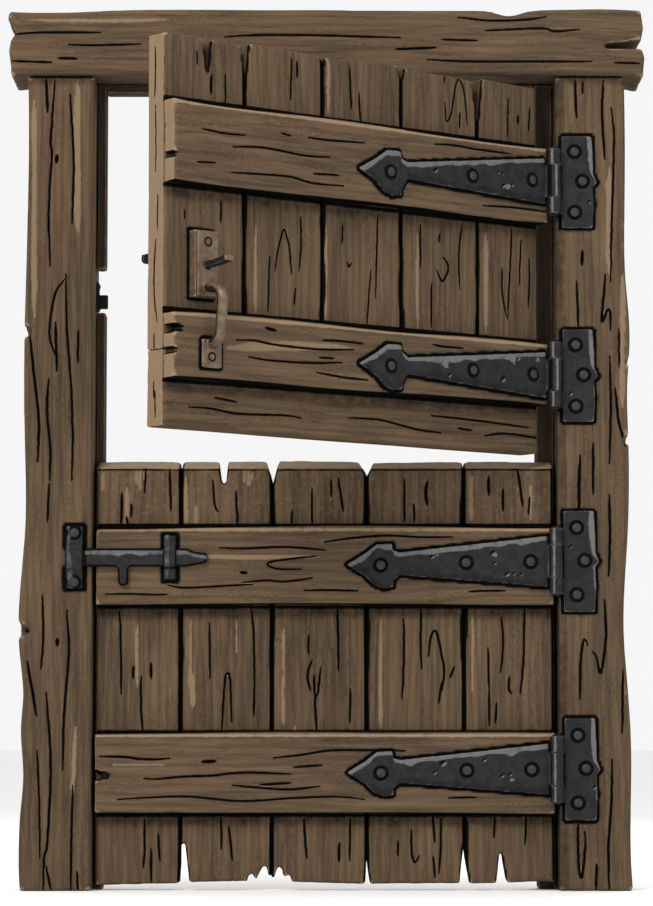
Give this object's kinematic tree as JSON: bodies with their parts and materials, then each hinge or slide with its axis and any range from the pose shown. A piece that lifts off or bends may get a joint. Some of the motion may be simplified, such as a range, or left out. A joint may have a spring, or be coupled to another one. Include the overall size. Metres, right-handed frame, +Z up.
{
  "type": "stable door",
  "caption": "Stable door of two plank leaves, one above the other, in a rough timber frame, with iron strap hinges, a slide bolt and a thumb latch. The upper leaf stands ajar.",
  "frame": {"origin": "middle of the hinge post's foot, where the post meets the ground", "axes": "+X to the right seen from outside, +Y into the building, +Z up"},
  "size_m": [1.69, 0.9357, 2.3273],
  "materials": {
    "frame_timber": "weathered brown timber, matt, with deep grain and cracks",
    "leaf_timber": "weathered brown planks, matt, with paler worn arrises",
    "iron": "forged black iron, satin, worn lighter on its edges",
    "bronze": "brown patinated bronze, satin, lighter where it is handled"
  },
  "bodies": {
    "frame": {"hinge_post": "frame_timber", "latch_post": "frame_timber", "lintel": "frame_timber", "head_stop": "frame_timber", "hinge_stop": "frame_timber", "latch_stop_lower": "frame_timber", "latch_stop_upper": "frame_timber", "upper_hinge_plate_top": "iron", "upper_hinge_plate_bottom": "iron", "upper_hinge_pin_top": "iron", "upper_hinge_pin_bottom": "iron", "lower_hinge_plate_top": "iron", "lower_hinge_plate_bottom": "iron", "lower_hinge_pin_top": "iron", "lower_hinge_pin_bottom": "iron", "plate_rivets": "iron", "bolt_keeper": "iron", "keeper_nails": "iron", "latch_catch": "iron", "catch_screws": "iron"},
    "upper_leaf": {"upper_board_1": "leaf_timber", "upper_board_2": "leaf_timber", "upper_board_3": "leaf_timber", "upper_board_4": "leaf_timber", "upper_board_5": "leaf_timber", "upper_bottom_rail": "leaf_timber", "upper_ledge_top": "leaf_timber", "upper_ledge_bottom": "leaf_timber", "upper_strap_top": "iron", "upper_strap_bottom": "iron", "upper_strap_rivets": "iron", "upper_nails": "iron", "latch_packing": "leaf_timber", "latch_handle": "bronze", "latch_screws": "bronze", "lever_pin": "iron", "bar_stud": "iron", "bar_staple": "iron"},
    "lower_leaf": {"lower_board_1": "leaf_timber", "lower_board_2": "leaf_timber", "lower_board_3": "leaf_timber", "lower_board_4": "leaf_timber", "lower_board_5": "leaf_timber", "lower_ledge_top": "leaf_timber", "lower_ledge_bottom": "leaf_timber", "lower_strap_top": "iron", "lower_strap_bottom": "iron", "lower_strap_rivets": "iron", "lower_nails": "iron", "bolt_guide": "iron"},
    "thumb_lever": {"thumb_lever": "bronze"},
    "latch_bar": {"latch_bar": "iron"},
    "slide_bolt": {"slide_bolt": "iron"}
  },
  "joints": [
    {"name": "upper_leaf_hinge", "type": "hinge", "parent": "frame", "child": "upper_leaf", "pos_m": [-0.097, -0.118, 1.6], "axis": [0, 0, 1], "range_deg": [-37.2, 132.8]},
    {"name": "lower_leaf_hinge", "type": "hinge", "parent": "frame", "child": "lower_leaf", "pos_m": [-0.097, -0.118, 0.58], "axis": [0, 0, 1], "range_deg": [0, 170]},
    {"name": "thumb_press", "type": "hinge", "parent": "upper_leaf", "child": "thumb_lever", "pos_m": [-0.99611, -0.74459, 1.552], "axis": [0.7965, 0.6046, 0], "range_deg": [0, 11]},
    {"name": "latch_bar_lift", "type": "hinge", "parent": "upper_leaf", "child": "latch_bar", "pos_m": [-0.92256, -0.54376, 1.5746], "axis": [-0.6046, 0.7965, 0], "range_deg": [0, 7.63]},
    {"name": "bolt_slide", "type": "slide", "parent": "lower_leaf", "child": "slide_bolt", "axis": [1, 0, 0], "range_m": [-0.082, 0.082]}
  ],
  "couplings": [
    {"joint": "latch_bar_lift", "follows": "thumb_press", "ratio": 0.6925}
  ]
}
